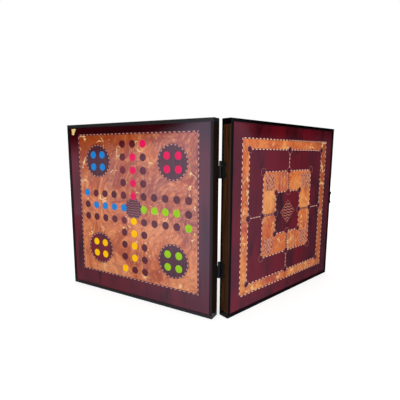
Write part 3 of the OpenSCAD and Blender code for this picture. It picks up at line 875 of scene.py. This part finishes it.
# Black paint on the end rails: brush strokes along the rail and a little dust under the gloss,
# both drawn coarser than real ones
def blackPaint(name, board):
    material, tree = newMaterial(name)
    place = boardPlace(tree, board)
    dust = woodFigure(tree, place, *rails["dust"])
    strokes = woodFigure(tree, place, *rails["strokes"])
    specks = addNode(tree, "MapRange", [dust, *rails["dustLevels"]])
    colour = addNode(tree, "MixRGB", [specks, rails[board]["paint"], rails[board]["dust"]])
    colour, coat = railStain(tree, board, place, colour)
    lacquered(tree, place, colour, strokes, coat, rails["paintRoughness"])
    return material


# Birch plywood: pale plies a good millimetre thick, glued crosswise, so that an edge is banded
plies = {
    "pair": 2.6,
    "pale": "#a9855a",
    "brown": "#8c6a43",
    "pore": "#6f5233",
    "grain": (1.4, (1, 1, 20), 3, 0.3),
    "grainLevels": (0.4, 0.7, 0, 0.3),
}


def plywood(name, board):
    material, tree = newMaterial(name)
    place = boardPlace(tree, board)
    y = addNode(tree, "SeparateXYZ", [place]).outputs[1]
    grain = woodFigure(tree, place, *plies["grain"])
    base = addNode(tree, "MixRGB", [dashes(tree, y, plies["pair"]), plies["pale"], plies["brown"]])
    fine = addNode(tree, "MapRange", [grain, *plies["grainLevels"]])
    colour = addNode(tree, "MixRGB", [fine, base, plies["pore"]])
    lacquered(tree, place, colour, grain, 0)
    return material


# Pale maple veneer of the light backgammon points: even cream with a fine straight grain, which
# is drawn coarser than the real one
maple = {
    "pale": "#ecd0a4",
    "brown": "#d2a873",
    "grain": (1.6, (1, 1, 22), 3, 0.3),
    "grainLevels": (0.35, 0.72),
}


def mapleVeneer():
    material, tree = newMaterial("mapleVeneer")
    place = boardPlace(tree, "backgammon")
    grain = woodFigure(tree, place, *maple["grain"])
    fine = addNode(tree, "MapRange", [grain, *maple["grainLevels"]])
    colour = addNode(tree, "MixRGB", [fine, maple["pale"], maple["brown"]])
    lacquered(tree, place, colour, grain)
    return material


# Walnut veneer of the backgammon bar: the walnut of the rails under the full gloss
def walnutVeneer():
    material, tree = newMaterial("walnutVeneer")
    place = boardPlace(tree, "backgammon")
    colour, rings = walnutColour(tree, place, rails["morrisTray"])
    lacquered(tree, place, colour, rings)
    return material


# Black stoving enamel on pressed steel: even satin gloss with a fine peel, a little rubbed
steel = {
    "black": "#070707",
    "worn": "#171515",
    "roughness": 0.5,
    "shine": 0.25,
    "rubbed": (3, even, 3, 0.3),
    "rubbedLevels": (0.5, 0.8),
    "peel": (0.8, even, 1, 0, 5),
    "peelDepth": 0.00002,
}


def enamelledSteel():
    material, tree = newMaterial("blackEnamelledSteel")
    coordinates = addNode(tree, "TexCoord").outputs["Object"]
    place = addNode(tree, "Mapping", {"Vector": coordinates, "Scale": (perMetre,) * 3})
    rubbed = woodFigure(tree, place, *steel["rubbed"])
    peel = woodFigure(tree, place, *steel["peel"])
    worn = addNode(tree, "MapRange", [rubbed, *steel["rubbedLevels"]])
    skin = {"Strength": 1, "Distance": steel["peelDepth"], "Height": peel}
    shader = {
        "Base Color": addNode(tree, "MixRGB", [worn, steel["black"], steel["worn"]]),
        "Roughness": steel["roughness"],
        "Specular IOR Level": steel["shine"],
        "Normal": addNode(tree, "Bump", skin),
    }
    addNode(tree, "OutputMaterial", [addNode(tree, "BsdfPrincipled", shader)])
    return material


print("making materials")
enamel = enamelledSteel()
finishes = {
    "ludo_top_rail": blackPaint("blackPaintLudo", "ludoTray"),
    "ludo_hinge_rail": walnutRail("walnutRailLudo", "ludoTray"),
    "ludo_panel": plywood("birchPlywoodLudo", "ludoTray"),
    "ludo_surround": chippedVeneer("maroonVeneerLudo"),
    "ludo_ground": burlVeneer("burlVeneerLudo", "ludo", "ludo"),
    "ludo_stringing": ludoStringingSheet(),
    "ludo_rosette": rosettePatch(),
    "ludo_path_spots": darkVeneer("darkVeneerLudo", "ludo"),
    "ludo_home_discs": darkVeneer("darkVeneerHomes", "ludo", "homes"),
    "ludo_red_spots": stainedSpots("red"),
    "ludo_blue_spots": stainedSpots("blue"),
    "ludo_yellow_spots": stainedSpots("yellow"),
    "ludo_green_spots": stainedSpots("green"),
    "backgammon_ground": burlVeneer("burlVeneerBackgammon", "backgammon", "ludo", 50),
    "backgammon_bar": walnutVeneer(),
    "backgammon_light_points": mapleVeneer(),
    "backgammon_dark_points": maroonVeneer("maroonVeneerBackgammon", "backgammon", "ludo", 20),
    "morris_top_rail": blackPaint("blackPaintMorris", "morrisTray"),
    "morris_hinge_rail": walnutRail("walnutRailMorris", "morrisTray"),
    "morris_panel": plywood("birchPlywoodMorris", "morrisTray"),
    "morris_surround": maroonVeneer("maroonVeneerMorris", "morris", "morris", stainSeeds["morris"]),
    "morris_centre": maroonVeneer("maroonVeneerMiddle", "morris", "middle", 47),
    "morris_outer_band": burlVeneer("burlVeneerMorris", "morris", "morris"),
    "morris_inner_band": burlVeneer("burlVeneerMiddle", "morris", "morris", 124),
    "morris_stringing": morrisStringingSheet(),
    "morris_chequers": chequeredPatches(),
    "morris_stripes": stripedPatches(),
    "morris_diamond": diamondPatch(),
    "morris_spots": darkVeneer("darkVeneerMorris", "morris", "morris"),
    "chess_border_sheet": maroonVeneer("maroonVeneerChess", "chess", "morris", 60),
    "chess_light_squares": burlVeneer("burlVeneerChess", "chess", "morris", 80),
    "chess_dark_squares": darkVeneer("darkVeneerChess", "chess"),
}
alike = {
    "ludo_bottom_rail": "ludo_top_rail",
    "ludo_free_rail": "ludo_hinge_rail",
    "morris_bottom_rail": "morris_top_rail",
    "morris_free_rail": "morris_hinge_rail",
    "morris_field": "morris_surround",
}
for name, node in nodes.items():
    node.data.materials.clear()
    node.data.materials.append(finishes.get(alike.get(name, name), enamel))


# From a half's own frame in millimetres to the case's frame in metres
def halfMatrix(mirror):
    turn = Matrix.Translation((0, hingePoint.y, 0)) @ Matrix.Rotation(halfTurn, 4, "Z")
    return Matrix.Diagonal((mirror, 1, 1, 1)) @ turn @ Matrix.Scale(1 / perMetre, 4)


def finishPiece(name, shape, board, material, body):
    bmesh.ops.transform(shape, matrix=halfMatrix(boards[board]["mirror"]), verts=shape.verts[:])
    bmesh.ops.recalc_face_normals(shape, faces=shape.faces[:])
    mesh = bpy.data.meshes.new(name)
    shape.to_mesh(mesh)
    shape.free()
    mesh.materials.append(material)
    piece = bpy.data.objects.new(name, mesh)
    bpy.context.scene.collection.objects.link(piece)
    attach(piece, body)
    return piece


# Thin light rings round the spots of the morris board, let in from the front: slips of stained
# maple, faintly speckled
spotRings = {
    "squares": (142.5, 95, 47.5),
    "inner": 7.9,
    "outer": 8.7,
    "face": -23.8,
    "proud": 0.05,
    "sunk": 0.2,
    "segments": 40,
    "light": "#a87c78",
    "shade": "#80504e",
    "speckle": (2.2, even, 2, 0),
    "speckleLevels": (0.35, 0.7),
}


def buildSpotRings():
    look = spotRings
    x, z = boards["morris"]["centre"]
    width, height = look["outer"] - look["inner"], look["proud"] + look["sunk"]
    front = look["face"] - look["proud"]
    rings = bmesh.new()
    grid = [(i, j) for i in (-1, 0, 1) for j in (-1, 0, 1) if (i, j) != (0, 0)]
    middles = [(x + i * half, z + j * half) for half in look["squares"] for i, j in grid]
    for middleX, middleZ in middles:
        corner = Vector((middleX + look["outer"], front, middleZ))
        offsets = [(0, 0, 0), (-width, 0, 0), (-width, height, 0), (0, height, 0)]
        section = [rings.verts.new(corner + Vector(offset)) for offset in offsets]
        edges = [rings.edges.new((section[i - 1], section[i])) for i in range(4)]
        bmesh.ops.spin(
            rings,
            geom=section + edges,
            cent=(middleX, 0, middleZ),
            axis=(0, 1, 0),
            angle=2 * math.pi,
            steps=look["segments"],
            use_merge=True,
        )
    material, tree = newMaterial("lightRingSlips")
    place = boardPlace(tree, "morris")
    speckle = woodFigure(tree, place, *look["speckle"])
    share = addNode(tree, "MapRange", [speckle, *look["speckleLevels"]])
    colour = addNode(tree, "MixRGB", [share, look["light"], look["shade"]])
    lacquered(tree, place, colour, speckle)
    name, slot = "morrisSpotRings", "dashed_stringing"
    return finishPiece(name, rings, "morris", material, "morris_half")


print("making the spot rings")
buildSpotRings()

# Studio: pale floor, white surroundings, soft lamps from the left and the front, and cards that
# only the glosses see
studio = {
    "floorSize": 7,
    "floorDrop": 0.0003,
    "floorPaint": "#dcdcdc",
    "floorShade": "#b8b8b8",
    "floorGlow": (0.4, 2.4, 0.62, 1),
    "white": "#ffffff",
    "ambient": 0.42,
    "aim": (0, 0, 0.2),
    "lamps": {
        "keyLamp": {"at": (-1.5, -1.9, 1.7), "size": 1.4, "power": 40},
        "fillLamp": {"at": (1.5, -2.0, 1.3), "size": 1.4, "power": 26},
        "topLamp": {"at": (0, 0.4, 2.4), "size": 1.6, "power": 18},
    },
    "cards": {
        "leftCard": {
            "corners": [(-1.3, -1.7, 0), (-1.3, 0.4, 0), (-1.3, 0.4, 1.4), (-1.3, -1.7, 1.4)],
            "tint": "#dcd0f0",
            "levels": (-0.6, 2.6, 0.05, 0.9),
            "upperLevels": (-0.6, 0.02, 0.3, 0.005),
            "line": (-0.1, 0.34, -0.77, 0.6, 2),
            "blend": 0.14,
        },
        "leftFloorCard": {
            "corners": [
                (-1.3, -1.2, 0.0004),
                (-0.02, -1.2, 0.0004),
                (-0.02, 0.15, 0.0004),
                (-1.3, 0.15, 0.0004),
            ],
            "tint": "#dcd0f0",
            "levels": (-0.35, 2.4, 0.06, 0.5),
        },
        "rightCard": {
            "corners": [(0.62, -0.9, 0), (0.62, 1.1, 0), (0.62, 1.1, 1.4), (0.62, -0.9, 1.4)],
            "tint": "#dcc8f0",
            "levels": (-0.19, 0.75, 0.06, 0.2),
            "upperLevels": (-0.21, 0.6, -0.1, 0.04),
            "line": (-0.13, 0.385, -0.2, 0.5, 1),
            "blend": 0.06,
        },
        "rightFloorCard": {
            "corners": [
                (0.02, -0.4, 0.0004),
                (0.62, -0.4, 0.0004),
                (0.62, 0.5, 0.0004),
                (0.02, 0.5, 0.0004),
            ],
            "tint": "#dcc8f0",
            "levels": (-0.19, 0.75, 0.06, 0.2),
        },
    },
}


# 1 for the rays that see the surroundings themselves: straight, in a gloss or through glass
def seenDirectly(tree):
    path = addNode(tree, "LightPath")
    rays = [path.outputs["Is Camera Ray"], path.outputs["Is Glossy Ray"]]
    seen = addNode(tree, "Math", rays, operation="MAXIMUM")
    return addNode(tree, "Math", [seen, path.outputs["Is Transmission Ray"]], operation="MAXIMUM")


def stagePiece(name, shape, material):
    mesh = bpy.data.meshes.new(name)
    shape.to_mesh(mesh)
    shape.free()
    mesh.materials.append(material)
    piece = bpy.data.objects.new(name, mesh)
    bpy.context.scene.collection.objects.link(piece)
    return piece


# White paper: the case is lit by it as by pale grey, and the camera sees it nearly white
def buildFloor():
    material, tree = newMaterial("palePaper")
    paint = addNode(tree, "BsdfDiffuse", [studio["floorPaint"]])
    shade = addNode(tree, "BsdfDiffuse", [studio["floorShade"]])
    place = addNode(tree, "TexCoord").outputs["Object"]
    distance = addNode(tree, "VectorMath", [place], operation="LENGTH").outputs["Value"]
    glow = addNode(tree, "MapRange", [distance, *studio["floorGlow"]])
    shine = addNode(tree, "Emission", [studio["white"], glow])
    bright = addNode(tree, "AddShader", [shade, shine])
    shader = addNode(tree, "MixShader", [seenDirectly(tree), paint, bright])
    addNode(tree, "OutputMaterial", [shader])
    floor = bmesh.new()
    bmesh.ops.create_grid(floor, x_segments=1, y_segments=1, size=studio["floorSize"] / 2)
    bmesh.ops.translate(floor, verts=floor.verts[:], vec=(0, 0, -studio["floorDrop"]))
    stagePiece("floor", floor, material)


# A card glows from one level to another along Y: its levels are Y and level at both ends. Above a
# soft line, from one (Y, Z) to the next, it has other levels. The line is straight where bend is 1.
def cardGlow(tree, look):
    axes = addNode(tree, "SeparateXYZ", [addNode(tree, "TexCoord").outputs["Object"]])
    back, height = axes.outputs[1], axes.outputs[2]
    glows = []
    for part in ("levels", "upperLevels"):
        if part in look:
            near, nearLevel, far, farLevel = look[part]
            levels = [back, near, far, nearLevel, farLevel]
            glows.append(addNode(tree, "MapRange", levels, interpolation_type="SMOOTHSTEP"))
    if "line" not in look:
        return glows[0]
    lowY, lowZ, highY, highZ, bend = look["line"]
    rise = addNode(tree, "MapRange", [back, lowY, highY])
    rise = addNode(tree, "Math", [rise, bend], operation="POWER")
    line = addNode(tree, "Math", [rise, highZ - lowZ, lowZ], operation="MULTIPLY_ADD")
    over = addNode(tree, "Math", [height, line], operation="SUBTRACT")
    edge = look["blend"] / 2
    over = addNode(tree, "MapRange", [over, -edge, edge], interpolation_type="SMOOTHSTEP")
    return addNode(tree, "Mix", {0: over, 2: glows[0], 3: glows[1]})


def buildCards():
    for name, look in studio["cards"].items():
        card = bmesh.new()
        card.faces.new([card.verts.new(corner) for corner in look["corners"]])
        material, tree = newMaterial(name)
        glow = addNode(tree, "Emission", [look["tint"], cardGlow(tree, look)])
        addNode(tree, "OutputMaterial", [glow])
        piece = stagePiece(name, card, material)
        piece.visible_camera = False
        piece.visible_diffuse = False
        piece.visible_shadow = False


def buildWorld():
    world = bpy.data.worlds.new("studio")
    world.use_nodes = True
    tree = world.node_tree
    tree.nodes.clear()
    strength = addNode(tree, "MapRange", [seenDirectly(tree), 0, 1, studio["ambient"], 1])
    light = addNode(tree, "Background", [studio["white"], strength])
    addNode(tree, "OutputWorld", [light])
    bpy.context.scene.world = world


def buildLamps():
    for name, look in studio["lamps"].items():
        lamp = bpy.data.lights.new(name, "AREA")
        lamp.energy, lamp.size = look["power"], look["size"]
        made = bpy.data.objects.new(name, lamp)
        made.location = look["at"]
        aim = Vector(studio["aim"]) - made.location
        made.rotation_euler = aim.to_track_quat("-Z", "Y").to_euler()
        bpy.context.scene.collection.objects.link(made)


# Camera fitted to the corners of both boards in the photograph, with its angles in radians
view = {
    "lens": 28.722,
    "sensor": 36,
    "at": (-0.10751, -0.72374, 0.33251),
    "yaw": 0.10975,
    "pitch": 0.14363,
    "roll": 0.00508,
}


def buildCamera():
    yaw, pitch, roll = view["yaw"], view["pitch"], view["roll"]
    flat = math.cos(pitch)
    ahead = Vector((math.sin(yaw) * flat, math.cos(yaw) * flat, -math.sin(pitch)))
    level = Vector((math.cos(yaw), -math.sin(yaw), 0))
    up = level.cross(ahead)
    right = math.cos(roll) * level + math.sin(roll) * up
    data = bpy.data.cameras.new("camera")
    data.lens, data.sensor_width = view["lens"], view["sensor"]
    camera = bpy.data.objects.new("camera", data)
    turn = Matrix((right, right.cross(ahead), -ahead)).transposed().to_4x4()
    camera.matrix_world = Matrix.Translation(view["at"]) @ turn
    bpy.context.scene.collection.objects.link(camera)
    bpy.context.scene.camera = camera


print("making the studio")
buildFloor()
buildCards()
buildWorld()
buildLamps()
buildCamera()
bpy.context.scene.view_settings.view_transform = "Standard"
